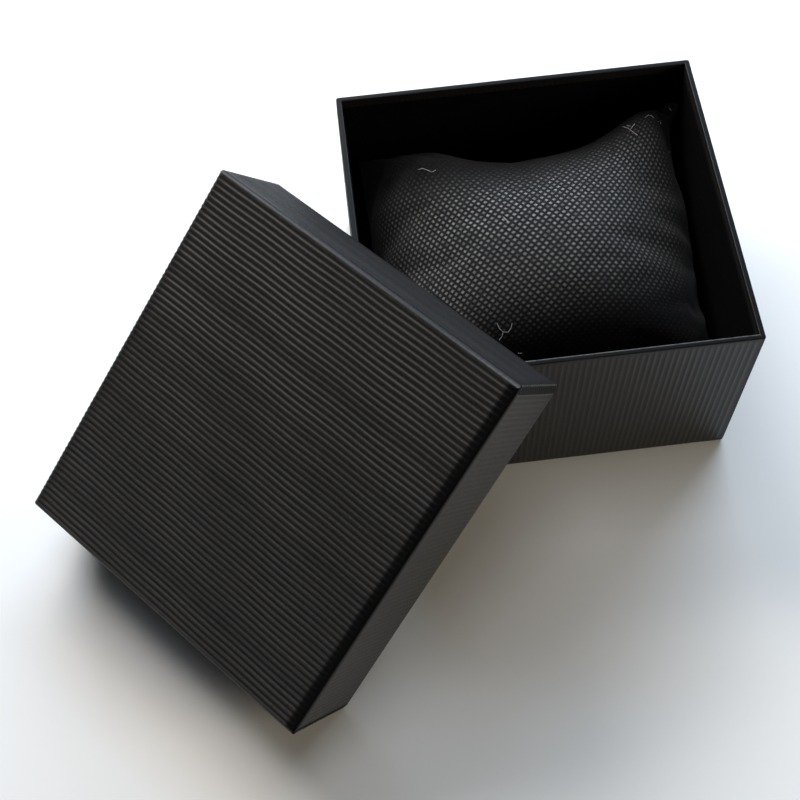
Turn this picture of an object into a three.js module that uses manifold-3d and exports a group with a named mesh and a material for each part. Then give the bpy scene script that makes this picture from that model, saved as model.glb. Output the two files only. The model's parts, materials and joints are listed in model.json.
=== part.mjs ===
// A small cardboard watch box, built as a set-up box is built: two greyboard boxes, tray and lid,
// with taped corners, wrapped in ribbed black paper and lined with smooth black paper.
// The lid leans on the front left corner of the tray, and a padded pillow lies in the tray.
// Millimetres, +Z up. The origin is the middle of the tray's underside, +X runs to the right
// along its front wall and +Y to its back wall.
import * as THREE from "three";
import { mergeVertices } from "three/addons/utils/BufferGeometryUtils.js";
import Module from "manifold-3d";

// Outer size of the tray, and of the lid that slides over it.
const TRAY_WIDTH = 82;
const TRAY_DEPTH = 75;
const TRAY_HEIGHT = 48.5;
const LID_HEIGHT = 23.5;
const LID_CLEARANCE = 0.24;

// The layers of a wall, from the outside in.
const RIB_HEIGHT = 0.12;
const PAPER = 0.13;
const GLUE = 0.05;
const STAY_THICKNESS = 0.08;
const BOARD = 0.8;
const LINING = 0.1;

// Ribs of the paper, and the bands beside an edge where folding has pressed them flat.
const RIB_PITCH = 1.3;
const RIM_BAND = 1.2;
const CORNER_BAND = 1.8;

// Rounding of the upright corners, of the folds round the panel and of the fold over the rim.
const CORNER_RADIUS = 1.2;
const FOLD_RADIUS = 1.5;
const RIM_RADIUS = 0.4;

// Papers inside the box, and the tapes and hairline joints at the board's corners.
const TURN_IN = 14;
const LINING_DROP = 2.5;
const STAY_LEG = 12;
const STAY_DROP = 2;
const SLIT = 0.2;

// Where the lid leans: from the tray's front left corner back along the left wall and to the
// right along the front wall, and how far its upper rim runs on past the front wall.
const LEAN_ON_LEFT_WALL = 34.2;
const LEAN_ON_FRONT_WALL = 31.3;
const LEAN_OVERHANG = 8.9;
const LEAN_GAP = 0.3;

// The pillow: its room beside the tray's lining, the room above it that a watch needs, how far
// it swells below its seam, the fabric, and how its outline draws in and lifts.
const PILLOW_SIDE_EASE = 1.94;
const PILLOW_END_EASE = 2.44;
const WATCH_ROOM = 7.5;
const PILLOW_BELLY = 25;
const PILLOW_SEAM_HEIGHT = 21;
const PILLOW_REST_GAP = 0.3;
const COVER = 0.4;
const SEAM_GAP = 0.3;
const FILLING_GAP = 0.3;
const FILLING_EASE = 2;
const DRAW_IN_SIDES = 0.9;
const DRAW_IN_ENDS = 5.5;
const SEAM_RISE_TO_BACK = 3;
const SEAM_RISE_TO_RIGHT = 1.5;
const CORNER_LIFT = 6.5;
const EAR_RISE = 4.5;
const EAR_REACH = 0.8;
const FULLNESS_SHARE = 0.72;
const EAR_SHARPNESS = 14;

// Steps along each side of the pillow and round a quarter circle, and how far a cut runs over.
const PILLOW_STEPS = 14;
const ARC_STEPS = 3;
const CUT = 5;

// How deep each layer's face lies under the crests of the ribs.
const PAPER_BACK = RIB_HEIGHT + PAPER;
const STAY_FACE = PAPER_BACK + GLUE;
const STAY_BACK = STAY_FACE + STAY_THICKNESS;
const BOARD_FACE = STAY_BACK + GLUE;
const BOARD_BACK = BOARD_FACE + BOARD;
const TURN_IN_FACE = BOARD_BACK + GLUE;
const TURN_IN_BACK = TURN_IN_FACE + PAPER;
const LINING_FACE = TURN_IN_BACK + GLUE;
const LINING_BACK = LINING_FACE + LINING;

// Heights in the panel, which is the tray's floor or the lid's top, and the board's upper edge.
const PANEL_BOARD_LOW = PAPER_BACK + GLUE;
const PANEL_BOARD_HIGH = PANEL_BOARD_LOW + BOARD;
const PANEL_LINING_LOW = PANEL_BOARD_HIGH + GLUE;
const PANEL_LINING_HIGH = PANEL_LINING_LOW + LINING;
const RIM_BOARD_DROP = PAPER + GLUE;

const PILLOW_WIDTH = TRAY_WIDTH - 2 * (LINING_BACK + PILLOW_SIDE_EASE);
const PILLOW_DEPTH = TRAY_DEPTH - 2 * (LINING_BACK + PILLOW_END_EASE);
const PILLOW_CROWN = TRAY_HEIGHT - WATCH_ROOM - PILLOW_SEAM_HEIGHT;

const LID_GROWTH = 2 * (LID_CLEARANCE + LINING_BACK);
const TRAY = { width: TRAY_WIDTH, depth: TRAY_DEPTH, height: TRAY_HEIGHT, ribbedPanel: false };
const LID = {
  width: TRAY_WIDTH + LID_GROWTH,
  depth: TRAY_DEPTH + LID_GROWTH,
  height: LID_HEIGHT,
  ribbedPanel: true,
};

const wasm = await Module();
wasm.setup();

const X = new THREE.Vector3(1, 0, 0);
const Y = new THREE.Vector3(0, 1, 0);
const Z = new THREE.Vector3(0, 0, 1);

// Which way each upright corner lies from the middle: to the right or left, to the back or front.
const CORNERS = [
  [-1, -1],
  [1, -1],
  [1, 1],
  [-1, 1],
];

function solidOf(geometry) {
  geometry.deleteAttribute("normal");
  geometry.deleteAttribute("uv");
  const merged = mergeVertices(geometry);
  return new wasm.Manifold(
    new wasm.Mesh({
      numProp: 3,
      vertProperties: merged.attributes.position.array,
      triVerts: new Uint32Array(merged.index.array),
    }),
  );
}

function geometryOf(solid) {
  const mesh = solid.getMesh();
  const geometry = new THREE.BufferGeometry();
  geometry.setAttribute("position", new THREE.BufferAttribute(mesh.vertProperties, 3));
  geometry.setIndex(new THREE.BufferAttribute(mesh.triVerts, 1));
  geometry.computeVertexNormals();
  return geometry;
}

// Outline of a rectangle, anticlockwise from its lower right corner. Each corner has a radius.
// Each side, from the right one on, may be ribbed between a plain margin at either end:
// its crests lie on the side, and its grooves a rib's height inside.
function outline(low, high, radii, ribs = []) {
  const corners = [
    new THREE.Vector2(high.x, low.y),
    new THREE.Vector2(high.x, high.y),
    new THREE.Vector2(low.x, high.y),
    new THREE.Vector2(low.x, low.y),
  ];
  const points = [];
  corners.forEach((corner, i) => {
    const next = corners[(i + 1) % corners.length];
    const along = next.clone().sub(corner).normalize();
    const inward = new THREE.Vector2(-along.y, along.x);
    const start = ((i - 1) * Math.PI) / 2;
    if (radii[i] > 0) {
      const centre = corner.clone().addScaledVector(along, radii[i]);
      centre.addScaledVector(inward, radii[i]);
      const arc = new THREE.EllipseCurve(
        centre.x, centre.y, radii[i], radii[i], start, start + Math.PI / 2,
      );
      points.push(...arc.getPoints(ARC_STEPS));
    } else {
      points.push(corner);
    }
    if (!ribs[i]) return;
    const [before, after] = ribs[i];
    const length = corner.distanceTo(next) - before - after;
    const count = Math.round(length / RIB_PITCH);
    const pitch = length / count;
    const first = corner.clone().addScaledVector(along, before);
    points.push(first);
    for (let rib = 0; rib < count; rib++) {
      const groove = first.clone().addScaledVector(along, (rib + 1 / 2) * pitch);
      points.push(groove.addScaledVector(inward, RIB_HEIGHT));
      points.push(first.clone().addScaledVector(along, (rib + 1) * pitch));
    }
  });
  return points;
}

// An outline pushed along an axis: right and up say where its own x and y point.
function extrusion(points, right, up, from, to) {
  const geometry = new THREE.ExtrudeGeometry(new THREE.Shape(points), {
    depth: to - from,
    bevelEnabled: false,
  });
  geometry.translate(0, 0, from);
  const away = right.clone().cross(up);
  geometry.applyMatrix4(new THREE.Matrix4().makeBasis(right, up, away));
  return solidOf(geometry);
}

// A block inside a box, a given inset from its walls, as the part common to three extrusions:
// its plan, its front view and its side view. Only the outermost block, the skin, has ribs,
// which run along the depth: over the panel, down the front and back, and along the sides.
function block(box, inset, bottom, top, skin = false) {
  const x = box.width / 2 - inset;
  const y = box.depth / 2 - inset;
  const corner = Math.max(CORNER_RADIUS - inset, 0);
  const fold = bottom > PANEL_BOARD_LOW ? 0 : Math.max(FOLD_RADIUS - inset, 0);
  const rim = skin ? RIM_RADIUS : 0;
  const flanks = skin ? [FOLD_RADIUS, FOLD_RADIUS] : undefined;
  const upright = skin ? [CORNER_BAND, RIM_BAND] : undefined;
  const downright = skin ? [RIM_BAND, CORNER_BAND] : undefined;
  const panel = skin && box.ribbedPanel ? flanks : undefined;
  const plan = outline(
    new THREE.Vector2(-x, -y),
    new THREE.Vector2(x, y),
    [corner, corner, corner, corner],
    [undefined, flanks, undefined, flanks],
  );
  const front = outline(
    new THREE.Vector2(-x, bottom),
    new THREE.Vector2(x, top),
    [fold, rim, rim, fold],
    [upright, undefined, downright, panel],
  );
  const side = outline(
    new THREE.Vector2(-y, bottom),
    new THREE.Vector2(y, top),
    [fold, rim, rim, fold],
  );
  return extrusion(plan, X, Y, bottom - CUT, top + CUT)
    .intersect(extrusion(front, X, Z, -y - CUT, y + CUT))
    .intersect(extrusion(side, Y, Z, -x - CUT, x + CUT));
}

function cuboid(low, high) {
  const size = high.clone().sub(low);
  const middle = high.clone().add(low).multiplyScalar(1 / 2);
  const geometry = new THREE.BoxGeometry(size.x, size.y, size.z);
  return solidOf(geometry.translate(middle.x, middle.y, middle.z));
}

// One sheet of ribbed paper over panel and walls, folded over the rim and turned in.
function wrap(box) {
  const inside = block(box, PAPER_BACK, PAPER_BACK, box.height - PAPER);
  const turnIn = block(box, TURN_IN_FACE, box.height - TURN_IN, box.height).subtract(
    block(box, TURN_IN_BACK, box.height - TURN_IN - CUT, box.height + CUT),
  );
  const mouth = block(box, TURN_IN_BACK, box.height - CUT, box.height + CUT);
  return block(box, 0, 0, box.height, true).subtract(inside.subtract(turnIn)).subtract(mouth);
}

// Greyboard folded up from one blank: the front and back walls butt against the side walls.
function board(box) {
  const top = box.height - RIM_BOARD_DROP;
  let solid = block(box, BOARD_FACE, PANEL_BOARD_LOW, top).subtract(
    block(box, BOARD_BACK, PANEL_BOARD_HIGH, top + CUT),
  );
  for (const [right, back] of CORNERS) {
    const x = right * (box.width / 2 - BOARD_BACK - SLIT / 2);
    const y = back * (box.depth / 2 - BOARD_BACK / 2);
    const half = new THREE.Vector3(SLIT / 2, BOARD_BACK / 2, 0);
    const slit = cuboid(
      new THREE.Vector3(x, y, PANEL_BOARD_HIGH).sub(half),
      new THREE.Vector3(x, y, top + CUT).add(half),
    );
    solid = solid.subtract(slit);
  }
  return solid;
}

// Paper tape round one upright corner of the board.
function cornerStay(box, right, back) {
  const top = box.height - STAY_DROP;
  const ring = block(box, STAY_FACE, FOLD_RADIUS, top).subtract(
    block(box, STAY_BACK, FOLD_RADIUS - CUT, top + CUT),
  );
  const x = right * (box.width / 2 - STAY_FACE);
  const y = back * (box.depth / 2 - STAY_FACE);
  const ends = [
    new THREE.Vector3(x - right * STAY_LEG, y - back * STAY_LEG, FOLD_RADIUS - CUT),
    new THREE.Vector3(x + right * CUT, y + back * CUT, top + CUT),
  ];
  return ring.intersect(
    cuboid(ends[0].clone().min(ends[1]), ends[0].clone().max(ends[1])),
  );
}

function wallLining(box) {
  const top = box.height - LINING_DROP;
  return block(box, LINING_FACE, PANEL_LINING_LOW, top).subtract(
    block(box, LINING_BACK, PANEL_LINING_LOW - CUT, top + CUT),
  );
}

function panelLining(box) {
  return block(box, LINING_BACK + GLUE, PANEL_LINING_LOW, PANEL_LINING_HIGH);
}

// One skin of the pillow as rows of points: face is 1 for the upper skin, which crowns, and -1
// for the lower one, which lies on the floor. It lies a given depth inside the cover's outer face
// and keeps inside its seam by inset. Only the cover runs out into the ear of its back corner.
function pillowSkin(face, depth, inset, earRise) {
  const floor = PANEL_LINING_HIGH + PILLOW_REST_GAP + depth;
  const swell = (face > 0 ? PILLOW_CROWN : PILLOW_BELLY) - depth;
  const rows = [];
  for (let j = 0; j <= PILLOW_STEPS; j++) {
    const row = [];
    for (let i = 0; i <= PILLOW_STEPS; i++) {
      const turnX = (i / PILLOW_STEPS - 1 / 2) * Math.PI;
      const turnY = (j / PILLOW_STEPS - 1 / 2) * Math.PI;
      const across = Math.sin(turnX);
      const along = Math.sin(turnY);
      const puff = (Math.max(Math.cos(turnX) * Math.cos(turnY), 0)) ** FULLNESS_SHARE;
      const ear = (((1 + across) * (1 + along)) / 4) ** EAR_SHARPNESS;
      const halfWidth = PILLOW_WIDTH / 2 - inset - DRAW_IN_SIDES * (1 - along ** 2);
      const halfDepth = PILLOW_DEPTH / 2 - inset - DRAW_IN_ENDS * (1 - across ** 2);
      const tilt = SEAM_RISE_TO_BACK * along + SEAM_RISE_TO_RIGHT * across;
      const lift = CORNER_LIFT * (across * along) ** 2 + earRise * ear;
      const height = PILLOW_SEAM_HEIGHT + tilt + lift + face * (SEAM_GAP / 2 + swell * puff);
      row.push(
        new THREE.Vector3(
          across * halfWidth + EAR_REACH * ear,
          along * halfDepth + EAR_REACH * ear,
          Math.max(height, floor),
        ),
      );
    }
    rows.push(row);
  }
  return rows;
}

// The closed body between two skins, joined round their edges.
function between(upper, lower) {
  const side = PILLOW_STEPS + 1;
  const positions = [...upper.flat(), ...lower.flat()].flatMap((point) => point.toArray());
  const shift = side * side;
  const index = [];
  const at = (i, j) => j * side + i;
  for (let j = 0; j < PILLOW_STEPS; j++) {
    for (let i = 0; i < PILLOW_STEPS; i++) {
      const [a, b, c, d] = [at(i, j), at(i + 1, j), at(i + 1, j + 1), at(i, j + 1)];
      index.push(a, b, c, a, c, d);
      index.push(a + shift, c + shift, b + shift, a + shift, d + shift, c + shift);
    }
  }
  const edge = [];
  for (let k = 0; k < PILLOW_STEPS; k++) edge.push(at(k, 0));
  for (let k = 0; k < PILLOW_STEPS; k++) edge.push(at(PILLOW_STEPS, k));
  for (let k = PILLOW_STEPS; k > 0; k--) edge.push(at(k, PILLOW_STEPS));
  for (let k = PILLOW_STEPS; k > 0; k--) edge.push(at(0, k));
  edge.forEach((a, k) => {
    const b = edge[(k + 1) % edge.length];
    index.push(a + shift, b + shift, b, a + shift, b, a);
  });
  const geometry = new THREE.BufferGeometry();
  geometry.setAttribute("position", new THREE.Float32BufferAttribute(positions, 3));
  geometry.setIndex(index);
  geometry.computeVertexNormals();
  return geometry;
}

const ribbedPaper = { color: 0x1f1d1d, roughness: 0.55, metalness: 0 };
const smoothPaper = { color: 0x0b0b0d, roughness: 0.75, metalness: 0 };
const greyboard = { color: 0x8b8680, roughness: 0.9, metalness: 0 };
const tapePaper = { color: 0xa98f6a, roughness: 0.8, metalness: 0 };
const nonWoven = { color: 0x17171a, roughness: 0.8, metalness: 0 };
const fibre = { color: 0xd9d9d6, roughness: 0.95, metalness: 0 };

function named(name, geometry, look) {
  const mesh = new THREE.Mesh(geometry, new THREE.MeshStandardMaterial(look));
  mesh.name = name;
  return mesh;
}

// All pieces of one box, open side up, with its panel on the ground.
function setUpBox(name, panelName, box) {
  const group = new THREE.Group();
  group.add(named(`${name}_board`, geometryOf(board(box)), greyboard));
  CORNERS.forEach(([right, back], i) => {
    const stay = cornerStay(box, right, back);
    group.add(named(`${name}_corner_stay_${i + 1}`, geometryOf(stay), tapePaper));
  });
  group.add(named(`${name}_wrap`, geometryOf(wrap(box)), ribbedPaper));
  group.add(named(`${name}_wall_lining`, geometryOf(wallLining(box)), smoothPaper));
  group.add(named(`${name}_${panelName}_lining`, geometryOf(panelLining(box)), smoothPaper));
  return group;
}

// The lid lies upside down over the corner of the tray. Its lower rim stands on the ground and
// its upper rim bears on the tray's left and front walls, so the sizes give its lean.
function leaningLid() {
  const lid = setUpBox("lid", "top", LID);
  const height = TRAY_HEIGHT + LEAN_GAP;
  const lean = Math.asin(height / (LID.width - TURN_IN_BACK));
  const sink = RIM_RADIUS * (Math.sin(lean) + Math.cos(lean) - 1);
  lid.rotation.y = Math.PI - lean;
  const turned = new THREE.Group();
  turned.rotation.z = Math.atan2(LEAN_ON_FRONT_WALL, LEAN_ON_LEFT_WALL);
  turned.add(lid);
  // The bearing point on the front wall, seen in the lid's own frame.
  const bearing = new THREE.Vector3(
    TURN_IN_BACK - LID.width / 2,
    LEAN_OVERHANG - LID.depth / 2,
    LID.height,
  );
  bearing.applyEuler(lid.rotation).applyEuler(turned.rotation);
  turned.position.set(LEAN_ON_FRONT_WALL - TRAY_WIDTH / 2, -TRAY_DEPTH / 2, height - sink);
  turned.position.sub(bearing);
  return turned;
}

function pillow() {
  const group = new THREE.Group();
  const [outerTop, outerBottom] = [1, -1].map((face) => pillowSkin(face, 0, 0, EAR_RISE));
  const [innerTop, innerBottom] = [1, -1].map((face) => pillowSkin(face, COVER, COVER, EAR_RISE));
  const [coreTop, coreBottom] = [1, -1].map((face) =>
    pillowSkin(face, COVER + FILLING_GAP, COVER + FILLING_EASE, 0),
  );
  group.add(named("pillow_cover_top", between(outerTop, innerTop), nonWoven));
  group.add(named("pillow_cover_bottom", between(innerBottom, outerBottom), nonWoven));
  group.add(named("pillow_filling", between(coreTop, coreBottom), fibre));
  return group;
}

const watchBox = new THREE.Group();
watchBox.add(setUpBox("tray", "floor", TRAY), leaningLid(), pillow());

export default watchBox;
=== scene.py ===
"""A small cardboard watch box: an open tray with a padded pillow, and its lid leaning on a corner.
Both boxes are wrapped in ribbed black paper. Sizes are in millimetres until a mesh is made."""

import json
import math

import bmesh
import bpy
import numpy as np
from mathutils import Matrix, Vector
from mathutils.bvhtree import BVHTree


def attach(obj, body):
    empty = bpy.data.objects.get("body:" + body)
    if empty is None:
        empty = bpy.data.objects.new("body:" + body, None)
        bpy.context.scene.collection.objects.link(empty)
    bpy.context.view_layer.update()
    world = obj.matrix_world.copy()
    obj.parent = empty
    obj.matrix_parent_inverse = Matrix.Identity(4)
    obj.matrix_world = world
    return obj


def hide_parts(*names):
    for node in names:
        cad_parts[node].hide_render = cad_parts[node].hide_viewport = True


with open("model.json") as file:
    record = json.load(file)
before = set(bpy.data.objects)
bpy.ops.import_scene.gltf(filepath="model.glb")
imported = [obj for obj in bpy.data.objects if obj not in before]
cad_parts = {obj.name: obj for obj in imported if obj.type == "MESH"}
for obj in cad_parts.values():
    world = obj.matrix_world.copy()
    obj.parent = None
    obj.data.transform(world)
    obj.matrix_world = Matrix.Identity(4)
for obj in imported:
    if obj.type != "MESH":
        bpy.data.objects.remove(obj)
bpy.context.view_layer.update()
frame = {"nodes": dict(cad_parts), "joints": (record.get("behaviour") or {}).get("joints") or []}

MM = 0.001
SEED = 41
rng = np.random.default_rng(SEED)

# The ribs of the wrap: their size, how uneven they are, and how much of them stands where.
RIB_PITCH = 1.3
RIB_DEPTH = 0.18
RIB_STEPS = 12
RIB_WAVE = 0.06
RIB_CROWDING = 0.6
RIB_UNEVEN = (0.7, 1.0)
CREST_SHARPNESS = 2
PRESSED_SINK = 0.6
SIDE_RIBS = 0.8
FLAP_RIBS = 0.55
TURN_IN_RIBS = 0.4
FRONT_FOLD, BACK_FOLD = 0.12, 0.55
TRAY_CORNER_RIBS, LID_CORNER_RIBS = 0.25, 0.6
RIM_BAND = 1.2
FOLD_BAND = 2.4

# The folded sheet: the wall it wraps, its bends, and the steps of its mesh.
PAPER = 0.13
WALL = 1.41
TURN_IN = 14.0
FOLD_RADIUS = 1.0
CORNER_RADIUS = 0.7
RIM_RADIUS = 0.4
INNER_RIM_RADIUS = 0.3
FOLD_STEPS, RIM_STEPS, INNER_RIM_STEPS, CORNER_STEPS = 9, 5, 4, 6
FLAP_SPACING, RIM_SPACING, TURN_IN_SPACING = 1.0, 0.3, 0.5
FINE_BAND, FINE_ROWS, COARSE_ROWS = 4, 11, 34
WELD, SLIVER = 0.002, 0.001
SHARP_ANGLE = 55

# The strips that the side flaps end in, on the front and back walls. On the lid they lie over the
# main sheet, which is pressed in below them, and on the tray they are tucked under it.
STRIP_TAILS = (0.25, 0.5, 0.75, 1.0)
LID_CORNER = [(0, 0.9), (0.15, 0.55), (0.5, 0.3), (1.2, 0.12), (1.9, -0.06)]
UNDER_STRIP = ([0.7, 1.2, 1.9, 2.6], [0.40, 0.27, 0.10, 0.0])
TUCK, TUCK_DEPTH = 0.8, 0.16

# Painted shade and highlights: how much shade is painted on the side walls, which also dulls them;
# how light the painted highlights are on the tray's front rim edge and on the lid's corner strips;
# how light the fold is painted where it wears flat and catches the light; and how deep that wear
# is.
TRAY_SIDE_SHADE = 0.95
LID_SIDE_SHADE = 0.75
LIP_PAINTED_HIGHLIGHT = 0.5
STRIP_PAINTED_HIGHLIGHT = 0.8
FOLD_WEAR_AND_HIGHLIGHT = 0.7
WEAR_DEPTH = 0.15

# The pillow: its flat panels and their cells, where its seams lie, and how full it is.
CLOTH_WIDTH, CLOTH_DEPTH = 86.0, 78.0
CELLS_X, CELLS_Y = 64, 56
SEAM_HEIGHT = 21.0
SEAM_LEFT, SEAM_RIGHT, SEAM_BACK = -36.8, 37.2, 33.2
DRAW_IN_SIDES, DRAW_IN_ENDS = 0.9, 5.5
RISE_TO_BACK, RISE_TO_RIGHT, CORNER_LIFT = 3.0, 1.5, 6.5
EAR_RISE, EAR_SHARPNESS = 3.5, 14
PUFF_UP, PUFF_DOWN, PUFF_POWER = 20.0, 19.0, 0.72
START_PUFF = 3.0
SLACK_SHARE = 0.35
TRAY_FLOOR = 1.75
ROOM_LOW, ROOM_HIGH = (-38.9, -35.2, 0), (38.9, 35.4, 60)

# Bumps of the filling behind the upper panel: place, reach and rise.
LUMPS = ((31.0, 30.0, 10.0, 4.5), (-22.0, 29.0, 11.0, 4.0))

# The flap of cloth that stands up at the back right corner: its reach and the way it is pulled.
EAR_REACH = 7.0
EAR_TIP, EAR_EDGE = (-0.8, -1.4, 3.4), (1.6, -1.0, 6.0)
EAR_ROOM_RIGHT = 39.1

# The wadding inside the cover: how far it reaches to the seams, and how full and lumpy it is.
FILLING_WIDE, FILLING_DEEP = 0.88, 0.9
FILLING_SHARE, FILLING_LUMP = 0.76, 0.03

# The cloth is simulated ten times its size, which suits the solver better than a few centimetres.
BIG = 0.01
DRAWN_BY, SETTLED_BY, CACHE_END = 20, 40, 45
CLOTH_SETTINGS = {
    "quality": 8,
    "mass": 0.3,
    "tension_stiffness": 40,
    "compression_stiffness": 40,
    "shear_stiffness": 15,
    "bending_stiffness": 3.0,
    "tension_damping": 20,
    "compression_damping": 20,
    "shear_damping": 10,
    "bending_damping": 1,
    "use_pressure": True,
    "uniform_pressure_force": 5,
    "air_damping": 6,
    "vertex_group_mass": "seams",
}

# Bond dots of the cloth: half their spacing across and along it, and the fade of their edge.
DOT_ROW, DOT_COLUMN = 0.7, 0.9
DOT_OUTSIDE, DOT_INSIDE = 0.52, 0.3
# The faintest the dots get where shade is painted near the seams.
DOT_FAINTEST = 0.08

# Colours. Where a noise mixes two, the darker one comes first.
GROOVES = (0.0074, 0.0068, 0.0066, 1), (0.0108, 0.01, 0.0096, 1)
PAPER_FIBRES = (0.021, 0.0192, 0.0178, 1)
# Rib crests painted lighter: partly rubbed paper, partly a painted highlight of the ridge lines
# that catch the light.
CREST_WEAR_AND_HIGHLIGHT = (0.058, 0.052, 0.048, 1)
# Light scuff colour: real wear on the lid's upper fold, which there also serves as a painted
# highlight, and a painted highlight on the tray's front rim edge and the lid's corner strips.
SCUFF_AND_HIGHLIGHT = (0.3, 0.28, 0.25, 1)
# Painted shade: the bluish near-black that the paper is mixed towards on rim tops, side walls, the
# lid's fold band and corner strips.
PAINTED_SHADE_PAPER = (0.0014, 0.0018, 0.003, 1)
LINING_TONES = (0.0012, 0.0011, 0.0018, 1), (0.002, 0.0019, 0.0029, 1)
BOARD_TONES = (0.22, 0.2, 0.18, 1), (0.32, 0.3, 0.27, 1)
BOARD_FLECKS = (0.08, 0.075, 0.07, 1)
TAPE_TONES = (0.33, 0.21, 0.11, 1), (0.45, 0.31, 0.18, 1)
CLOTH_TONES = (0.0035, 0.0035, 0.0042, 1), (0.0062, 0.0062, 0.007, 1)
CLOTH_STRANDS = (0.02, 0.02, 0.021, 1)
# Painted shade: the darker cloth colour towards the pillow's front and back.
PAINTED_SHADE_CLOTH = (0.0025, 0.0025, 0.003, 1)
# The lighter cloth colour towards the pillow's back right corner.
BACK_RIGHT_CLOTH = (0.028, 0.028, 0.032, 1)
BOND_DOTS = (0.062, 0.056, 0.046, 1)
WADDING_TONES = (0.62, 0.62, 0.6, 1), (0.82, 0.82, 0.8, 1)
LINT_TONES = (0.30, 0.31, 0.34, 1), (0.55, 0.56, 0.58, 1)
TABLE_TONES = (0.80, 0.80, 0.80, 1), (0.83, 0.83, 0.83, 1)

# The camera, fitted to the photograph's edges.
CAMERA_AT = (-42.305, -164.754, 286.586)
CAMERA_RIGHT = (0.993060, -0.113962, -0.029055)
CAMERA_DOWN = (-0.114551, -0.881326, -0.458414)
CAMERA_AHEAD = (0.026635, 0.458561, -0.888264)
CAMERA_LENS = 59.902
SENSOR = 36.0
PHOTO = 800

# Lint on the pillow, as the pixels of the photograph that each hair runs through.
LONG_HAIRS = [
    [(497, 323), (499, 328), (503, 332), (508, 332), (511, 328), (512, 323)],
    [(503, 332), (502, 336), (499, 340)],
    [(623, 127), (628, 129), (632, 132), (637, 136)],
    [(631, 129), (633, 127), (635, 125)],
    [(627, 126), (631, 127)],
    [(418, 170), (423, 169), (428, 171), (432, 173), (436, 171)],
    [(503, 217), (506, 220), (508, 223)],
    [(645, 118), (648, 116), (651, 117), (653, 119)],
    [(664, 104), (667, 102), (670, 104)],
    [(668, 107), (672, 110)],
    [(675, 113), (679, 118)],
    [(657, 122), (660, 121), (659, 124)],
]
SPECKS = [
    (688, 149), (681, 154), (676, 161), (690, 161), (684, 170), (687, 170),
    (691, 172), (683, 176), (691, 175), (519, 353), (521, 353), (669, 152),
]
HAIR_RADIUS = 0.045
HAIR_LIFT, SPECK_LIFT = [0.15, 0.3, 0.4], [0.12]

# Floor and lights, in metres and watts: name, place, aim, size, power and colour.
FLOOR_SIZE = 6
LIGHTS = (
    ("back_light", (0.25, 0.95, 0.58), (0, 0, 0.03), (1.4, 0.6), 22, (0.66, 0.82, 1.0)),
    ("left_window", (-0.17, 0.28, 0.36), (-0.05, 0, 0.05), (0.3, 0.16), 2.0, (1.0, 0.94, 0.87)),
    ("overhead", (0.0, 0.25, 1.5), (0, 0, 0), (0.7, 0.7), 4.5, (0.94, 0.97, 1.0)),
    ("right_light", (0.8, -0.4, 0.3), (0, -0.03, 0.03), (0.5, 0.3), 3.6, (1.0, 0.87, 0.66)),
)
WORLD_COLOUR, WORLD_STRENGTH = (0.95, 0.97, 1.0, 1), 0.04


def add_object(name, data):
    obj = bpy.data.objects.new(name, data)
    bpy.context.scene.collection.objects.link(obj)
    return obj


def mesh_object(name, verts, faces):
    """A smooth mesh from points in millimetres."""
    mesh = bpy.data.meshes.new(name)
    points = (np.asarray(verts, float) * MM).tolist()
    mesh.from_pydata(points, [], [list(map(int, face)) for face in faces])
    mesh.update()
    mesh.shade_smooth()
    return add_object(name, mesh)


def bake_modifiers(obj):
    """Applies an object's modifiers to its mesh."""
    graph = bpy.context.evaluated_depsgraph_get()
    mesh = bpy.data.meshes.new_from_object(
        obj.evaluated_get(graph), preserve_all_data_layers=True, depsgraph=graph
    )
    obj.modifiers.clear()
    obj.data = mesh


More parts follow.
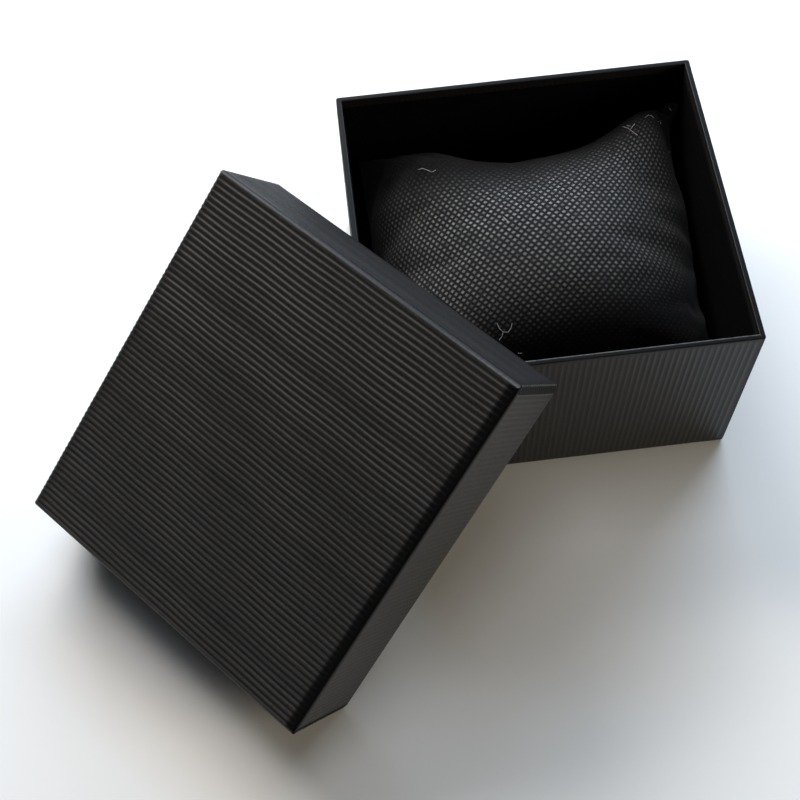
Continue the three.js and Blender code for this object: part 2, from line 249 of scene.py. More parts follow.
class Shader:
    """A procedural material under construction. Sockets take numbers, colours or other outputs."""

    def __init__(self, name, **sockets):
        self.material = bpy.data.materials.new(name)
        self.material.use_nodes = True
        self.tree = self.material.node_tree
        self.bsdf = self.tree.nodes["Principled BSDF"]
        self.place = self.node("ShaderNodeTexCoord").outputs["Object"]
        self.set(**sockets)

    def node(self, kind, settings=None, **inputs):
        node = self.tree.nodes.new(kind)
        for key, value in (settings or {}).items():
            setattr(node, key, value)
        for key, value in inputs.items():
            self.plug(node.inputs[key.replace("_", " ")], value)
        return node

    def plug(self, socket, value):
        if isinstance(value, bpy.types.NodeSocket):
            self.tree.links.new(value, socket)
        else:
            socket.default_value = value

    def set(self, **sockets):
        for key, value in sockets.items():
            self.plug(self.bsdf.inputs[key.replace("_", " ")], value)

    def math(self, operation, *values):
        node = self.node("ShaderNodeMath", {"operation": operation})
        for socket, value in zip(node.inputs, values):
            self.plug(socket, value)
        return node.outputs[0]

    def product(self, first, second):
        return self.math("MULTIPLY", first, second)

    def remap(self, value, low, high, to_low=0.0, to_high=1.0):
        node = self.node("ShaderNodeMapRange", {"interpolation_type": "SMOOTHSTEP"})
        for socket, number in zip(node.inputs, (value, low, high, to_low, to_high)):
            self.plug(socket, number)
        return node.outputs["Result"]

    def noise(self, grain, detail=3.0, stretch=(1, 1, 1), roughness=0.55):
        """Noise whose lumps are about a grain wide, in millimetres."""
        mapping = self.node("ShaderNodeMapping", Vector=self.place)
        mapping.inputs["Scale"].default_value = [1 / s for s in stretch]
        node = self.node(
            "ShaderNodeTexNoise",
            Vector=mapping.outputs[0],
            Scale=1 / (grain * MM),
            Detail=detail,
            Roughness=roughness,
        )
        return node.outputs["Fac"]

    def mix(self, share, first, second):
        node = self.node("ShaderNodeMix", {"data_type": "RGBA"})
        sockets = [s for s in node.inputs if s.enabled]
        for socket, value in zip(sockets, (share, first, second)):
            self.plug(socket, value)
        return next(s for s in node.outputs if s.enabled)

    def tones(self, noise, dark, light):
        """A colour between two, by a noise, most of which lies between 0.3 and 0.7."""
        return self.mix(self.remap(noise, 0.3, 0.7), dark, light)

    def attribute(self, name):
        return self.node("ShaderNodeAttribute", {"attribute_name": name}).outputs["Fac"]

    def bump(self, height, depth, below=None):
        """Bump of a real depth in millimetres, where the height runs from 0 to 1."""
        node = self.node("ShaderNodeBump", Height=height, Strength=1.0, Distance=depth * MM)
        if below:
            self.plug(node.inputs["Normal"], below)
        return node.outputs[0]


# What a wrap's points tell its material, from 0 to 1: how flat the ribs are pressed, how high on a
# rib the point is, how much wear and painted highlight the paper gets, and how much painted shade.
SHARES = ("pressed", "crest", "wear_and_highlight", "shade")


def ribbed_paper():
    s = Shader("ribbed_paper")
    pressed, crest, wear_and_highlight, shade = map(s.attribute, SHARES)
    blotch = s.noise(9.0, 4.0)
    fibre = s.noise(0.35, 5.0, (1, 5, 1), 0.7)
    grain = s.noise(0.16, 2.0)
    fleck = s.noise(0.42, 4.0, (1, 1, 1), 0.75)
    base = s.tones(blotch, *GROOVES)
    base = s.mix(s.remap(fibre, 0.35, 0.75, 0.0, 0.5), base, PAPER_FIBRES)
    # The crests are painted lighter, partly as rubbing and partly as a painted highlight.
    base = s.mix(s.product(crest, s.remap(fleck, 0.3, 0.65, 0.25, 1.0)), base, CREST_WEAR_AND_HIGHLIGHT)
    # Wear and painted highlights are mixed towards a light scuff colour.
    scuff_and_highlight = s.product(wear_and_highlight, s.remap(s.noise(0.8, 3.0), 0.3, 0.6, 0.25, 0.9))
    base = s.mix(scuff_and_highlight, base, SCUFF_AND_HIGHLIGHT)
    # Painted shade: shaded places are mixed towards near-black and their specular is lowered.
    base = s.mix(s.product(shade, 0.7), base, PAINTED_SHADE_PAPER)
    rough = s.remap(fibre, 0.25, 0.75, 0.42, 0.56)
    s.set(Base_Color=base, Specular_IOR_Level=s.remap(shade, 0.0, 1.0, 0.36, 0.06))
    s.set(Roughness=s.math("SUBTRACT", rough, s.product(pressed, 0.06)))
    s.set(Normal=s.bump(grain, 0.01, s.bump(fibre, 0.014)))
    return s.material


def lining_paper():
    s = Shader("lining_paper", Specular_IOR_Level=0.08)
    cloud = s.noise(6.0, 3.0)
    grain = s.noise(0.3, 4.0)
    s.set(Base_Color=s.tones(cloud, *LINING_TONES))
    s.set(Roughness=s.remap(grain, 0.3, 0.7, 0.7, 0.85), Normal=s.bump(grain, 0.012))
    return s.material


def greyboard():
    s = Shader("greyboard", Specular_IOR_Level=0.2, Roughness=0.9)
    fibre = s.noise(0.5, 5.0, (1, 4, 1), 0.7)
    fleck = s.noise(0.25, 2.0, (1, 1, 2))
    base = s.tones(fibre, *BOARD_TONES)
    base = s.mix(s.remap(fleck, 0.66, 0.74, 0.0, 0.7), base, BOARD_FLECKS)
    s.set(Base_Color=base, Normal=s.bump(fibre, 0.03))
    return s.material


def kraft_tape():
    s = Shader("kraft_tape", Specular_IOR_Level=0.3)
    fibre = s.noise(0.4, 5.0, (6, 1, 1), 0.7)
    s.set(Base_Color=s.tones(fibre, *TAPE_TONES))
    s.set(Roughness=s.remap(fibre, 0.3, 0.7, 0.6, 0.75), Normal=s.bump(fibre, 0.012))
    return s.material


def bond_dots(s):
    """1 on the bond dots of the cloth and 0 between them, from its flat coordinates in
    millimetres. They fade towards the seams, a painted shade where the cloth turns into the dark.
    Gives also how much painted light the cloth gets, which is less towards the front and back
    where shade is painted, and how far a point lies towards the cloth's back right corner."""
    flat = s.node("ShaderNodeUVMap", {"uv_map": "cloth"}).outputs[0]
    wide, deep = s.node("ShaderNodeSeparateXYZ", Vector=flat).outputs[:2]
    u = s.math("DIVIDE", wide, DOT_ROW)
    v = s.math("DIVIDE", deep, DOT_COLUMN)
    cells = []
    for sign in (1.0, -1.0):
        half = s.product(s.math("MULTIPLY_ADD", v, sign, u), 0.5)
        cells.append(s.math("SUBTRACT", s.math("FRACT", half), 0.5))
    across = s.product(s.math("ADD", *cells), DOT_ROW)
    along = s.product(s.math("SUBTRACT", *cells), DOT_COLUMN)
    away = s.math("ADD", s.math("ABSOLUTE", across), s.math("ABSOLUTE", along))
    dots = s.remap(away, DOT_OUTSIDE, DOT_INSIDE)
    slanted = s.math("SUBTRACT", deep, s.product(s.math("MAXIMUM", wide, 0.0), 0.35))
    across_seams = ((wide, 36.0, 27.0), (wide, -40.0, -30.0))
    along_seams = ((slanted, 23.0, 7.0), (slanted, -27.0, -10.0))
    # Painted shade: the dots fade towards the sides, the front and the back, where the cloth turns
    # into the dark.
    for place, faint, clear in across_seams + along_seams:
        dots = s.product(dots, s.remap(place, faint, clear, DOT_FAINTEST, 1.0))
    # Painted shade towards the front and back.
    from_front = s.remap(slanted, -28.0, -6.0, 0.1, 1.0)
    from_back = s.remap(slanted, 25.0, 11.0, 0.35, 1.0)
    painted_light = s.product(from_front, from_back)
    back_right_share = s.remap(s.math("ADD", wide, deep), 72.0, 79.0)
    return dots, painted_light, back_right_share


def non_woven():
    s = Shader("non_woven", Sheen_Weight=0.03, Sheen_Roughness=0.5)
    dots, painted_light, back_right_share = bond_dots(s)
    fluff = s.noise(0.3, 5.0, (1, 1, 1), 0.8)
    patch = s.noise(5.0, 3.0)
    strand = s.noise(0.34, 4.0, (1, 5, 1), 0.8)
    dots = s.product(dots, s.remap(s.noise(1.1, 2.0), 0.3, 0.62, 0.45, 1.0))
    base = s.tones(patch, *CLOTH_TONES)
    base = s.mix(s.remap(strand, 0.48, 0.72, 0.0, 0.75), base, CLOTH_STRANDS)
    # Painted shade: the cloth turns darker and less glossy where painted light is low, towards the
    # front and back.
    base = s.mix(painted_light, PAINTED_SHADE_CLOTH, base)
    base = s.mix(back_right_share, base, BACK_RIGHT_CLOTH)
    base = s.mix(dots, base, BOND_DOTS)
    gloss = s.product(painted_light, s.remap(dots, 0.0, 1.0, 0.17, 0.75))
    s.set(Base_Color=base, Roughness=s.remap(dots, 0.0, 1.0, 0.85, 0.36))
    s.set(Specular_IOR_Level=s.product(gloss, s.remap(fluff, 0.35, 0.65, 0.4, 1.6)))
    s.set(Normal=s.bump(s.math("SUBTRACT", 1.0, dots), 0.05, s.bump(fluff, 0.12)))
    return s.material


def wadding():
    s = Shader("fibre_filling", Specular_IOR_Level=0.25, Roughness=0.95, Sheen_Weight=0.5)
    fluff = s.noise(1.4, 5.0, (1, 3, 1), 0.75)
    s.set(Base_Color=s.tones(fluff, *WADDING_TONES), Normal=s.bump(fluff, 0.5))
    return s.material


def lint():
    s = Shader("lint", Specular_IOR_Level=0.5, Roughness=0.45)
    s.set(Base_Color=s.mix(s.noise(1.5, 2.0), *LINT_TONES))
    return s.material


def table_top():
    s = Shader("table_top", Roughness=0.75, Specular_IOR_Level=0.2)
    s.set(Base_Color=s.mix(s.noise(120.0, 3.0), *TABLE_TONES))
    return s.material


RIBBED = ribbed_paper()
LINING = lining_paper()
BOARD = greyboard()
TAPE = kraft_tape()
CLOTH = non_woven()
FILLING = wadding()
LINT = lint()


def dress(obj, material):
    obj.data.materials.clear()
    obj.data.materials.append(material)


class BoxFrame:
    """Where one box lies: its own frame has the panel at height 0 and the rim above it."""

    def __init__(self, node, up):
        up = Vector(up).normalized()
        along = Vector((0, 0, 1)).cross(up)
        along = along.normalized() if along.length > 0.01 else Vector((0, 1, 0))
        self.turn = np.array([along.cross(up), along, up])
        points = np.array([v.co for v in frame["nodes"][node].data.vertices]) / MM
        local = points @ self.turn.T
        low, high = local.min(0), local.max(0)
        middle = (low + high) / 2
        middle[2] = low[2]
        self.at = middle @ self.turn
        self.width, self.depth, self.height = high - low

    def place(self, points):
        return np.asarray(points, float) @ self.turn + self.at


def arc_points(centre, radius, start, stop, steps):
    """Points of an arc; an angle of 0 points along the first axis. The start is left out."""
    turns = np.linspace(start, stop, steps + 1)[1:]
    return [(centre[0] + radius * math.cos(t), centre[1] + radius * math.sin(t)) for t in turns]


def line_points(start, stop, spacing):
    """Points of a straight line, without its start."""
    start, stop = np.array(start, float), np.array(stop, float)
    count = max(1, int(math.ceil(math.dist(start, stop) / spacing)))
    return [tuple(start + (stop - start) * k / count) for k in range(1, count + 1)]


def wall_path(height, spacing):
    """The paper's outer face in a wall's section, as inset from the wall and height: from the
    panel round the fold, up the wall, over the rim and down inside. Gives the points, how far
    each is from the panel along the paper, and the way into the board."""
    r, q, p = FOLD_RADIUS, RIM_RADIUS, INNER_RIM_RADIUS
    inner_spacing = max(spacing, TURN_IN_SPACING)
    points = [(r, 0.0)]
    points += arc_points((r, r), r, -math.pi / 2, -math.pi, FOLD_STEPS)
    points += line_points((0, r), (0, height - q), spacing)
    points += arc_points((q, height - q), q, math.pi, math.pi / 2, RIM_STEPS)
    points += line_points((q, height), (WALL - p, height), RIM_SPACING)
    points += arc_points((WALL - p, height - p), p, math.pi / 2, 0, INNER_RIM_STEPS)
    points += line_points((WALL, height - p), (WALL, height - TURN_IN), inner_spacing)
    points = np.array(points)
    steps = np.diff(points, axis=0)
    length = np.concatenate([[0], np.cumsum(np.hypot(*steps.T))])
    ways = np.vstack([steps[:1], steps[1:] + steps[:-1], steps[-1:]])
    ways /= np.hypot(*ways.T)[:, None]
    inward = np.column_stack([ways[:, 1], -ways[:, 0]])
    return points, length, inward


def smooth(value, low, high):
    """0 at the low end, 1 at the high end, and a smooth step between. The ends may be swapped."""
    t = np.clip((np.asarray(value, float) - low) / (high - low), 0, 1)
    return t * t * (3 - 2 * t)


def ridge(distance, pitch):
    """Height of a rib over the groove, from 0 to 1: narrow crests at whole pitches."""
    wave = (1 + np.cos(2 * np.pi * np.asarray(distance, float) / pitch)) / 2
    return wave**CREST_SHARPNESS


def rib_weight(length, height, pressed):
    """How much of a rib stands on a wall at a distance from the panel: less in the fold, at the
    rim and on the turned-in flap."""
    fold = FOLD_RADIUS * math.pi / 2
    wall_end = fold + height - FOLD_RADIUS - RIM_RADIUS
    rising = pressed + (1 - pressed) * smooth(length, fold * 0.8, fold + FOLD_BAND * 0.7)
    falling = smooth(length, wall_end + 0.2, wall_end - RIM_BAND)
    inside = TURN_IN_RIBS * smooth(length, wall_end + 2.2, wall_end + 3.5)
    return np.maximum(rising * falling, inside)


def rim_shade(inset, z, height):
    """Painted shade: 1 on the flat top of the rim, which is darkened and given less specular so
    that it looks as if it mirrors the dark.
    """
    flat = smooth(inset, 0.05, 0.25) * smooth(inset, WALL - 0.1, WALL - 0.3)
    return smooth(z, height - 0.5, height - 0.15) * flat


def rib_sink(profile, weight, uneven=1.0):
    """How far the paper lies below the crests: down in the grooves, less where pressed."""
    return RIB_DEPTH * ((1 - profile) * weight * uneven + PRESSED_SINK * (1 - weight))


class Sheet:
    """Points, faces and shares per point of a paper sheet under construction."""

    def __init__(self):
        self.points, self.faces = [], []
        self.shares = {key: [] for key in SHARES}

    def grid(self, points, shares, flip=False):
        """Adds rows by columns of points. Faces look to the right of the rows' way, or left."""
        rows, columns = points.shape[:2]
        base = len(self.points)
        self.points.extend(points.reshape(-1, 3))
        for key, values in self.shares.items():
            values.extend(np.broadcast_to(shares[key], (rows, columns)).reshape(-1))
        for j in range(rows - 1):
            for i in range(columns - 1):
                a = base + j * columns + i
                face = (a, a + columns, a + columns + 1, a + 1)
                self.faces.append(face[::-1] if flip else face)


def rib_columns(half_x):
    """Where the columns of the main sheet lie, closer together on the crests, with each one's
    height on its rib and how deep that rib is."""
    ribs = round(2 * half_x / RIB_PITCH)
    pitch = 2 * half_x / ribs
    share = np.arange(ribs * RIB_STEPS + 1) / RIB_STEPS
    x = pitch * (share - RIB_CROWDING * np.sin(2 * np.pi * share) / (2 * np.pi)) - half_x
    uneven = np.append(np.repeat(rng.uniform(*RIB_UNEVEN, ribs), RIB_STEPS), 1.0)
    return x, ridge(x + half_x, pitch), uneven


def panel_rows(half_y):
    """Where the rows of the panel lie, closer together beside its folds."""
    reach = half_y - FOLD_RADIUS
    fine = np.linspace(0, FINE_BAND, FINE_ROWS)
    coarse = np.linspace(FINE_BAND - reach, reach - FINE_BAND, COARSE_ROWS)
    return np.concatenate([fine[:-1] - reach, coarse, reach - fine[-2::-1]])


def main_rows(box, panel_y, is_lid):
    """The main sheet's section from the end of the front flap over the panel to the end of the
    back flap: y, height, the way into the board in both, the ribs' weight, and the inset."""
    half_y = box.depth / 2
    path, length, inward = wall_path(box.height, FLAP_SPACING)
    flaps, weights = [], []
    for end, pressed in ((-1, FRONT_FOLD), (1, BACK_FOLD if is_lid else FRONT_FOLD)):
        y = end * (half_y - path[:, 0])
        weight = rib_weight(length, box.height, pressed)
        flap = [y, path[:, 1], -end * inward[:, 0], inward[:, 1], weight, path[:, 0]]
        flaps.append(np.column_stack(flap)[::end])
        from_fold = half_y - FOLD_RADIUS - end * panel_y
        weights.append(pressed + (1 - pressed) * smooth(from_fold, -0.3, FOLD_BAND))
    flat = np.zeros((len(panel_y) - 2, 6))
    flat[:, 0] = panel_y[1:-1]
    flat[:, 3] = 1.0
    flat[:, 4] = np.minimum(*weights)[1:-1] if is_lid else FRONT_FOLD
    flat[:, 5] = FOLD_RADIUS
    return np.vstack([flaps[0], flat, flaps[1]]).T[:, :, None]


def main_sheet(sheet, box, panel_y, is_lid):
    """The panel, with the front and back flaps folded up from it. The ribs run along it."""
    half_x, half_y = box.width / 2 - FOLD_RADIUS, box.depth / 2
    x, profile, uneven = (column[None, :] for column in rib_columns(half_x))
    y, z, way, rise, weight, inset = main_rows(box, panel_y, is_lid)
    shade = rim_shade(inset, z, box.height)
    # Painted highlight: a light line along the inner edge of the tray's front rim.
    lip_highlight = LIP_PAINTED_HIGHLIGHT * (inset > WALL - 0.35) * (z > box.height - 0.25) * (y < 0)
    if is_lid:
        # Painted shade: a dark band on the lid's panel beside its front fold.
        from_front = half_y - FOLD_RADIUS + y
        shade = shade + smooth(from_front, 2.2, 1.2) * smooth(z, 0.45, 0.1)
        lip_highlight = np.zeros_like(z)
    phase = rng.uniform(0, 6.28, 2)
    weight = weight * (1 - (1 - FLAP_RIBS) * smooth(z, 0.2, 1.2))
    weight = weight * (1 + 0.06 * np.sin(y * 0.21 + x * 0.13 + phase[0])) * uneven
    from_side = half_x - np.abs(x)
    edge = 1 - (1 - smooth(from_side, 0.0, 0.5)) * (1 - smooth(z, 0.0, FOLD_RADIUS))
    sink = rib_sink(profile, weight) * edge
    widen = FOLD_RADIUS - np.maximum(inset, CORNER_RADIUS)
    widen = widen * smooth(np.abs(x), half_x - 2.0, half_x)
    wave = RIB_WAVE * np.sin(y * 0.3 + x * 0.17 + phase[1]) * smooth(from_side, 0.0, 2.0)
    x = x + np.sign(x) * widen + wave
    if is_lid:
        under = np.interp(box.width / 2 - np.abs(x), *UNDER_STRIP)
        sink = sink + under * smooth(z, 0.3, 1.2) * np.clip(1 - inset / 1.2, 0, 1)
    points = np.stack([x, y + way * sink, z + rise * sink], axis=2)
    crest = profile * weight
    sheet.grid(points, {"pressed": 1 - weight, "crest": crest, "wear_and_highlight": lip_highlight, "shade": shade})


def corner_outlines(is_lid):
    """The paper round an upright corner, low at the fold and higher up: how far each point lies
    from the sharp corner along the front wall and into it. Gives also how many of the points are
    the bend itself; the others are the strip on the wall."""
    turns = np.linspace(0, math.pi / 2, CORNER_STEPS + 1)
    ball = CORNER_RADIUS * np.column_stack([1 - np.cos(turns), 1 - np.sin(turns)])
    tails = np.array(STRIP_TAILS)
    low = np.vstack([ball, np.tile([CORNER_RADIUS, 0.0], (len(tails), 1))])
    if is_lid:
        along, into = np.array(LID_CORNER).T
        far = np.concatenate([[0], np.cumsum(np.hypot(np.diff(along), np.diff(into)))])
        spots = np.linspace(0, far[-1], len(low))
        high = np.column_stack([np.interp(spots, far, along), np.interp(spots, far, into)])
    else:
        tucked = [CORNER_RADIUS + tails * TUCK, np.full(len(tails), TUCK_DEPTH)]
        high = np.vstack([ball, np.column_stack(tucked)])
    return low, high, len(ball)


def side_sheet(sheet, box, panel_y, side, is_lid):
    """A side flap. Its ends go round the upright corners and end as a strip on the front and back,
    over the main sheet or tucked under it. The ribs run along it too."""
    half_x, half_y = box.width / 2, box.depth / 2
    path, length, inward = wall_path(box.height, RIB_PITCH / RIB_STEPS)
    inset, z = path.T
    way, rise = inward.T
    weight = SIDE_RIBS * rib_weight(length, box.height, FRONT_FOLD)
    weight = weight * smooth(length, 0.5, FOLD_RADIUS * 1.2)
    profile = ridge(length, RIB_PITCH)
    depths = rng.uniform(*RIB_UNEVEN, int(length[-1] / RIB_PITCH) + 2)
    uneven = depths[(length / RIB_PITCH).astype(int)]
    slack = smooth(length, 0.0, FOLD_RADIUS)
    # Painted shade on the side walls below the rim.
    side_painted_shade = (LID_SIDE_SHADE if is_lid else TRAY_SIDE_SHADE) * (inset < WALL - 0.3) * slack
    shade = np.maximum(rim_shade(inset, z, box.height), side_painted_shade)
    corner_ribs = LID_CORNER_RIBS if is_lid else TRAY_CORNER_RIBS
    low, high, bends = corner_outlines(is_lid)
    order = range(len(low))
    stations = [(-1, k, 0.0) for k in reversed(order)]
    stations += [(0, 0, y) for y in panel_y]
    stations += [(1, k, 0.0) for k in order]
    points, shares = [], {key: [] for key in SHARES}
    for end, k, at in stations:
        on_strip = end != 0 and k >= bends
        damp = corner_ribs * (0.5 if on_strip else 1.0)
        if end == 0:
            damp = corner_ribs + (1 - corner_ribs) * smooth(half_y - abs(at), 0.6, 2.6)
        ribs = weight * damp
        sink = rib_sink(profile, ribs, uneven) * slack
        height = z + rise * sink
        if end == 0:
            x = half_x - inset - way * sink
            y = np.clip(at, inset - half_y, half_y - inset)
        else:
            share = smooth(z, 0.45, 0.85) if on_strip else smooth(z, 0.3, 1.2)
            along = low[k, 0] + (high[k, 0] - low[k, 0]) * share
            into = low[k, 1] + (high[k, 1] - low[k, 1]) * share
            if on_strip:
                x = half_x - np.maximum(inset, along)
                y = end * (half_y - inset - way * (sink + into))
                height = z + rise * (sink + into)
            else:
                shrink = np.clip(1 - inset / CORNER_RADIUS, 0, 1)
                turn = k / (bends - 1)
                x_sink, y_sink = 1 - turn**2, 1 - (1 - turn) ** 2
                x = half_x - inset - along * shrink - way * sink * x_sink
                y = end * (half_y - inset - into * shrink - way * sink * y_sink)
        points.append(np.column_stack([side * x, y, height]))
        # On the lid's corner strips: a painted highlight along the strip's upper bend and painted
        # shade over the rest of it.
        strip = smooth(z, 0.8, 1.6) * (is_lid and end != 0)
        wear_and_highlight = (0.3 + 0.7 * profile) * strip * (k in (1, 2)) * STRIP_PAINTED_HIGHLIGHT
        row = (1 - ribs, profile * ribs, wear_and_highlight, np.maximum(shade, strip * (k > 2)))
        for key, values in zip(SHARES, row):
            shares[key].append(values)
    sheet.grid(np.array(points), {key: np.array(rows) for key, rows in shares.items()}, side < 0)


def wear_fold(sheet, box):
    """Flattens the lid's upper fold where it wears, more and more towards the front corner, and
    paints it lighter there: partly real wear, partly a painted highlight.
    """
    points = np.array(sheet.points)
    diagonal = (points[:, 0] + box.width / 2 + points[:, 2]) / math.sqrt(2)
    growth = 0.15 + 0.85 * smooth(points[:, 1], 12.0, -box.depth / 2)
    limit = FOLD_RADIUS * (math.sqrt(2) - 1) + WEAR_DEPTH * growth
    push = np.maximum(limit - diagonal, 0.0)
    points[:, 0] += push / math.sqrt(2)
    points[:, 2] += push / math.sqrt(2)
    sheet.points = points
    fold_wear_and_highlight = FOLD_WEAR_AND_HIGHLIGHT * np.clip(push / WEAR_DEPTH, 0, 1) * growth
    sheet.shares["wear_and_highlight"] = np.maximum(np.array(sheet.shares["wear_and_highlight"]), fold_wear_and_highlight)


def paper_wrap(name, node, body, up, is_lid):
    """One wrap, from its main sheet and two side flaps, as thick as the paper."""
    box = BoxFrame(node, up)
    sheet = Sheet()
    panel_y = panel_rows(box.depth / 2)
    main_sheet(sheet, box, panel_y, is_lid)
    for side in (-1, 1):
        side_sheet(sheet, box, panel_y, side, is_lid)
    if is_lid:
        wear_fold(sheet, box)
    obj = mesh_object(name, box.place(sheet.points), sheet.faces)
    for key, values in sheet.shares.items():
        layer = obj.data.attributes.new(key, "FLOAT", "POINT")
        layer.data.foreach_set("value", np.clip(np.array(values, np.float32), 0, 1))
    work = bmesh.new()
    work.from_mesh(obj.data)
    bmesh.ops.remove_doubles(work, verts=work.verts, dist=WELD * MM)
    bmesh.ops.dissolve_degenerate(work, edges=work.edges, dist=SLIVER * MM)
    work.to_mesh(obj.data)
    work.free()
    solid = obj.modifiers.new("paper", "SOLIDIFY")
    solid.thickness = PAPER * MM
    solid.offset = -1.0
    bake_modifiers(obj)
    obj.data.shade_smooth()
    obj.data.set_sharp_from_angle(angle=math.radians(SHARP_ANGLE))
    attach(obj, body)
    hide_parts(node)
    dress(obj, RIBBED)


lid_axis = next(Vector(j["axis"]) for j in frame["joints"] if j["name"] == "lid_lift")
paper_wrap("tray_paper", "tray_wrap", "tray", (0, 0, 1), False)
paper_wrap("lid_paper", "lid_wrap", "lid", -lid_axis, True)

for node, obj in frame["nodes"].items():
    if node.endswith("_board"):
        dress(obj, BOARD)
    elif "_corner_stay_" in node:
        dress(obj, TAPE)
    elif node.endswith("_lining"):
        dress(obj, LINING)


def end_seam(u, v):
    """Where a point of an end seam lies in the tray: u is -1 or 1, v runs from front to back."""
    right = u > 0
    x = (SEAM_RIGHT if right else SEAM_LEFT) - math.copysign(DRAW_IN_SIDES * (1 - v * v), u)
    z = SEAM_HEIGHT + RISE_TO_BACK * v + RISE_TO_RIGHT * u + CORNER_LIFT * v * v
    if right and v > 0:
        z += EAR_RISE * v**EAR_SHARPNESS
    return x, SEAM_BACK * v, z


def puffed(u, v, face):
    across, along = math.sin(u * math.pi / 2), math.sin(v * math.pi / 2)
    puff = max(math.cos(u * math.pi / 2) * math.cos(v * math.pi / 2), 0) ** PUFF_POWER
    x = across * (SEAM_RIGHT - DRAW_IN_SIDES * (1 - along**2))
    y = along * (SEAM_BACK - DRAW_IN_ENDS * (1 - across**2))
    z = SEAM_HEIGHT + RISE_TO_BACK * along + RISE_TO_RIGHT * across
    z += CORNER_LIFT * (across * along) ** 2
    return x, y, z + face * (PUFF_UP if face > 0 else PUFF_DOWN) * puff


def pillow_cells():
    """Flat positions from -1 to 1 of the two panels' points, each with its face or 0 on the edge,
    which the panels share, and the panels' cells."""
    places, cells, index = [], [], {}
    for face in (1, -1):
        for j in range(CELLS_Y + 1):
            for i in range(CELLS_X + 1):
                edge = i in (0, CELLS_X) or j in (0, CELLS_Y)
                if face < 0 and edge:
                    index[face, i, j] = index[1, i, j]
                    continue
                index[face, i, j] = len(places)
                places.append((2 * i / CELLS_X - 1, 2 * j / CELLS_Y - 1, 0 if edge else face))
        for j in range(CELLS_Y):
            for i in range(CELLS_X):
                corners = ((i, j), (i + 1, j), (i + 1, j + 1), (i, j + 1))
                ring = [index[face, a, b] for a, b in corners]
                cells.append(ring if face > 0 else ring[::-1])
    return places, cells


def inflate(obj, places):
    """Blows the flat cloth up while its end seams are drawn together. Gives the points in mm."""
    scene = bpy.context.scene
    group = obj.vertex_groups.new(name="seams")
    pins = [k for k, (u, v, _) in enumerate(places) if abs(u) == 1]
    group.add(pins, 1.0, "REPLACE")
    obj.shape_key_add(name="flat")
    drawn = obj.shape_key_add(name="drawn")
    for k in pins:
        x, y, z = end_seam(*places[k][:2])
        drawn.data[k].co = Vector((x, y, z - SEAM_HEIGHT)) * BIG
    for value, at in ((0.0, 1), (1.0, DRAWN_BY)):
        drawn.value = value
        drawn.keyframe_insert("value", frame=at)
    cloth = obj.modifiers.new("Cloth", "CLOTH")
    for key, value in CLOTH_SETTINGS.items():
        setattr(cloth.settings, key, value)
    cloth.settings.effector_weights.gravity = 0
    cloth.collision_settings.use_collision = False
    cloth.collision_settings.use_self_collision = False
    cloth.point_cache.frame_start = 1
    cloth.point_cache.frame_end = CACHE_END
    for step in range(1, SETTLED_BY + 1):
        scene.frame_set(step)
    graph = bpy.context.evaluated_depsgraph_get()
    mesh = obj.evaluated_get(graph).to_mesh()
    points = np.array([v.co for v in mesh.vertices]) / BIG
    obj.modifiers.clear()
    obj.shape_key_clear()
    scene.frame_set(1)
    return points + (0, 0, SEAM_HEIGHT)


def settle(points):
    """Draws the middle of the back and front in, adds the filling's lumps and a fuller right side,
    and lets the underside rest on the tray's floor."""
    x, y, z = points.T.copy()
    middle = np.clip(1 - (x / 38) ** 2, 0, 1)
    y = y * (1 - 0.045 * middle**1.5)
    upper = smooth(z, 16.0, 26.0)
    for lump_x, lump_y, reach, rise in LUMPS:
        lump = rise * upper * np.exp(-((x - lump_x) ** 2 + (y - lump_y) ** 2) / reach**2)
        y, z = y + 0.4 * lump, z + lump
    x = x + 2.0 * np.exp(-(((y - 6.0) / 14.0) ** 2)) * smooth(x, 25.0, 36.0)
    depth = SEAM_HEIGHT - z
    z = np.where(depth > 0, SEAM_HEIGHT - depth * 1.18, z)
    bed = TRAY_FLOOR + 4
    z = np.where(z < bed, TRAY_FLOOR + 4 * np.exp(np.minimum((z - bed) / 4, 0)), z)
    return np.clip(np.column_stack([x, y, z]), ROOM_LOW, ROOM_HIGH)


def ear(points, places):
    """Stretches the back right corner of the seam into a small flap that stands up and curls."""
    flat = np.array(places)[:, :2]
    from_right = (1 - flat[:, 0]) * CLOTH_WIDTH / 2
    from_back = (1 - flat[:, 1]) * CLOTH_DEPTH / 2
    tip = smooth(np.hypot(from_right, from_back), EAR_REACH, 0.5)
    edge = smooth(from_right, 4.0, 0.0) * np.exp(-(((from_back - 5.5) / 3.0) ** 2))
    points = points + tip[:, None] * np.array(EAR_TIP)
    points = points + edge[:, None] * np.array(EAR_EDGE)
    return np.clip(points, ROOM_LOW, (EAR_ROOM_RIGHT, *ROOM_HIGH[1:]))


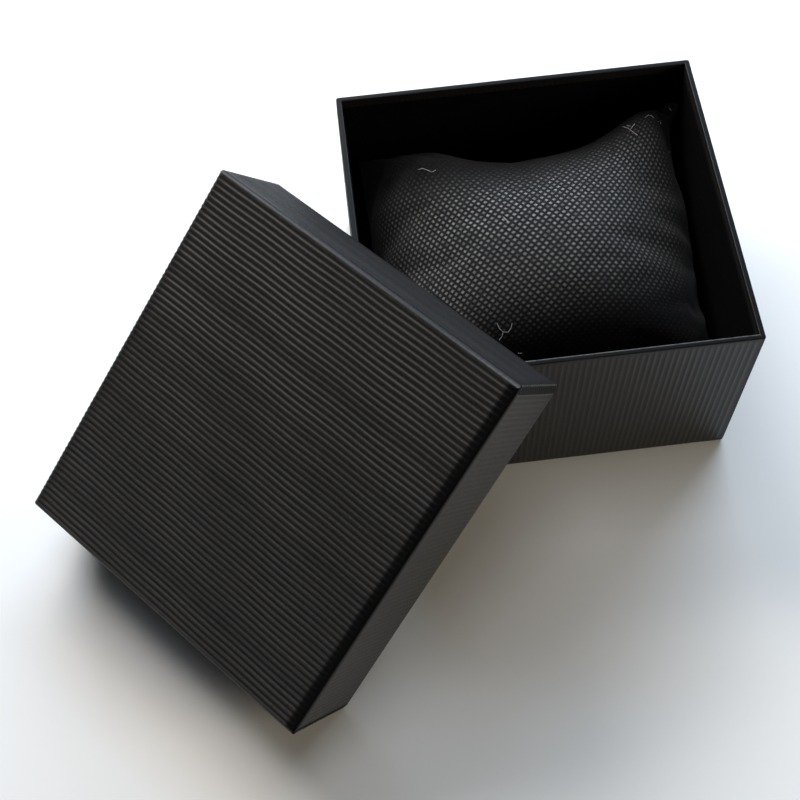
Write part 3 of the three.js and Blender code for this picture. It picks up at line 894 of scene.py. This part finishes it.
def pillow_cover():
    places, cells = pillow_cells()
    flat = []
    for u, v, face in places:
        puff = START_PUFF * face * (1 - u**4) * (1 - v**4)
        flat.append((u * CLOTH_WIDTH / 2, v * CLOTH_DEPTH / 2, puff))
    obj = mesh_object("pillow_cover", np.array(flat) * BIG / MM, cells)
    points = np.array([puffed(u, v, face) for u, v, face in places])
    points = points * (1 - SLACK_SHARE) + inflate(obj, places) * SLACK_SHARE
    points = ear(settle(points), places)
    obj.data.vertices.foreach_set("co", (points * MM).astype(np.float32).ravel())
    uv = obj.data.uv_layers.new(name="cloth")
    for loop in obj.data.loops:
        uv.data[loop.index].uv = flat[loop.vertex_index][:2]
    obj.data.update()
    fine = obj.modifiers.new("fine", "SUBSURF")
    fine.levels = fine.render_levels = 2
    bake_modifiers(obj)
    obj.data.shade_smooth()
    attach(obj, "pillow")
    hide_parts("pillow_cover_top", "pillow_cover_bottom")
    dress(obj, CLOTH)
    return obj, points


def sample(panel, u, v):
    """A panel's point between its rows and columns, at flat places from -1 to 1."""
    i, j = (u + 1) / 2 * CELLS_X, (v + 1) / 2 * CELLS_Y
    i0, j0 = min(int(i), CELLS_X - 1), min(int(j), CELLS_Y - 1)
    s, t = i - i0, j - j0
    low = panel[j0, i0] * (1 - s) + panel[j0, i0 + 1] * s
    high = panel[j0 + 1, i0] * (1 - s) + panel[j0 + 1, i0 + 1] * s
    return low * (1 - t) + high * t


def pillow_wadding(points):
    """The loose fibre inside the cover: it keeps clear of the seams and is a little lumpy."""
    places, cells = pillow_cells()
    panels = {face: np.zeros((CELLS_Y + 1, CELLS_X + 1, 3)) for face in (1, -1)}
    for (u, v, side), point in zip(places, points):
        for face, panel in panels.items():
            if side in (0, face):
                panel[round((v + 1) / 2 * CELLS_Y), round((u + 1) / 2 * CELLS_X)] = point
    inside = []
    for u, v, face in places:
        top, bottom = (sample(panels[f], u * FILLING_WIDE, v * FILLING_DEEP) for f in (1, -1))
        middle = (top + bottom) / 2
        shut = (1 - abs(u) ** 6) * (1 - abs(v) ** 6)
        lump = FILLING_LUMP * math.sin(9 * u + 2 * v) * math.sin(8 * v - 3 * u + 1)
        inside.append(middle + (top - bottom) / 2 * face * (FILLING_SHARE + lump) * shut**0.5)
    obj = mesh_object("pillow_wadding", inside, cells)
    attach(obj, "pillow")
    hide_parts("pillow_filling")
    dress(obj, FILLING)


cover, cover_points = pillow_cover()
pillow_wadding(cover_points)


camera_data = bpy.data.cameras.new("camera")
camera_data.lens = CAMERA_LENS
camera_data.sensor_width = SENSOR
camera_data.sensor_fit = "HORIZONTAL"
camera_data.clip_start = 0.005
camera_data.clip_end = 20
camera = add_object("camera", camera_data)
axes = Matrix((CAMERA_RIGHT, [-c for c in CAMERA_DOWN], [-c for c in CAMERA_AHEAD])).transposed()
camera.matrix_world = Matrix.Translation(Vector(CAMERA_AT) * MM) @ axes.to_4x4()
bpy.context.scene.camera = camera


def sight(px, py):
    """The direction in which the camera sees a pixel of the photograph."""
    scale = SENSOR / CAMERA_LENS / PHOTO
    ray = Vector(CAMERA_AHEAD)
    ray += Vector(CAMERA_RIGHT) * ((px - PHOTO / 2) * scale)
    ray += Vector(CAMERA_DOWN) * ((py - PHOTO / 2) * scale)
    return ray.normalized()


def laid(tree, pixels, lift):
    """A hair along pixels of the photograph, laid on the cloth and lifted by the given mm."""
    points = []
    for k, (px, py) in enumerate(pixels):
        point, normal, _, _ = tree.ray_cast(Vector(CAMERA_AT) * MM, sight(px, py))
        if point is not None:
            points.append(point + normal * (lift[min(k, len(lift) - 1)] * MM))
    return points


def lint_hairs(strands):
    """All hairs and specks as one thin round mesh."""
    data = bpy.data.curves.new("lint_hairs", "CURVE")
    data.dimensions = "3D"
    data.bevel_depth = HAIR_RADIUS * MM
    data.bevel_resolution = 1
    data.use_fill_caps = True
    for points in strands:
        spline = data.splines.new("POLY")
        spline.points.add(len(points) - 1)
        for target, point in zip(spline.points, points):
            target.co = (*point, 1)
    curve = add_object("lint_hairs", data)
    graph = bpy.context.evaluated_depsgraph_get()
    mesh = bpy.data.meshes.new_from_object(curve.evaluated_get(graph), depsgraph=graph)
    bpy.data.objects.remove(curve)
    obj = add_object("lint_hairs", mesh)
    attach(obj, "pillow")
    dress(obj, LINT)


cover_tree = BVHTree.FromObject(cover, bpy.context.evaluated_depsgraph_get())
strands = [laid(cover_tree, pixels, HAIR_LIFT) for pixels in LONG_HAIRS]
for x, y in SPECKS:
    pixels = [(x - 0.9, y + 0.5), (x, y - 0.3), (x + 0.8, y + 0.4)]
    strands.append(laid(cover_tree, pixels, SPECK_LIFT))
lint_hairs([strand for strand in strands if len(strand) > 1])


bpy.ops.mesh.primitive_plane_add(size=FLOOR_SIZE)
floor = bpy.context.object
floor.name = "floor"
dress(floor, table_top())

for name, at, aim, size, power, colour in LIGHTS:
    data = bpy.data.lights.new(name, "AREA")
    data.shape = "RECTANGLE"
    data.size, data.size_y = size
    data.energy = power
    data.color = colour
    light = add_object(name, data)
    light.location = at
    light.rotation_euler = (Vector(aim) - Vector(at)).to_track_quat("-Z", "Y").to_euler()

world = bpy.data.worlds.new("studio")
world.use_nodes = True
background = world.node_tree.nodes["Background"]
background.inputs["Color"].default_value = WORLD_COLOUR
background.inputs["Strength"].default_value = WORLD_STRENGTH
bpy.context.scene.world = world
bpy.context.scene.view_settings.view_transform = "Standard"
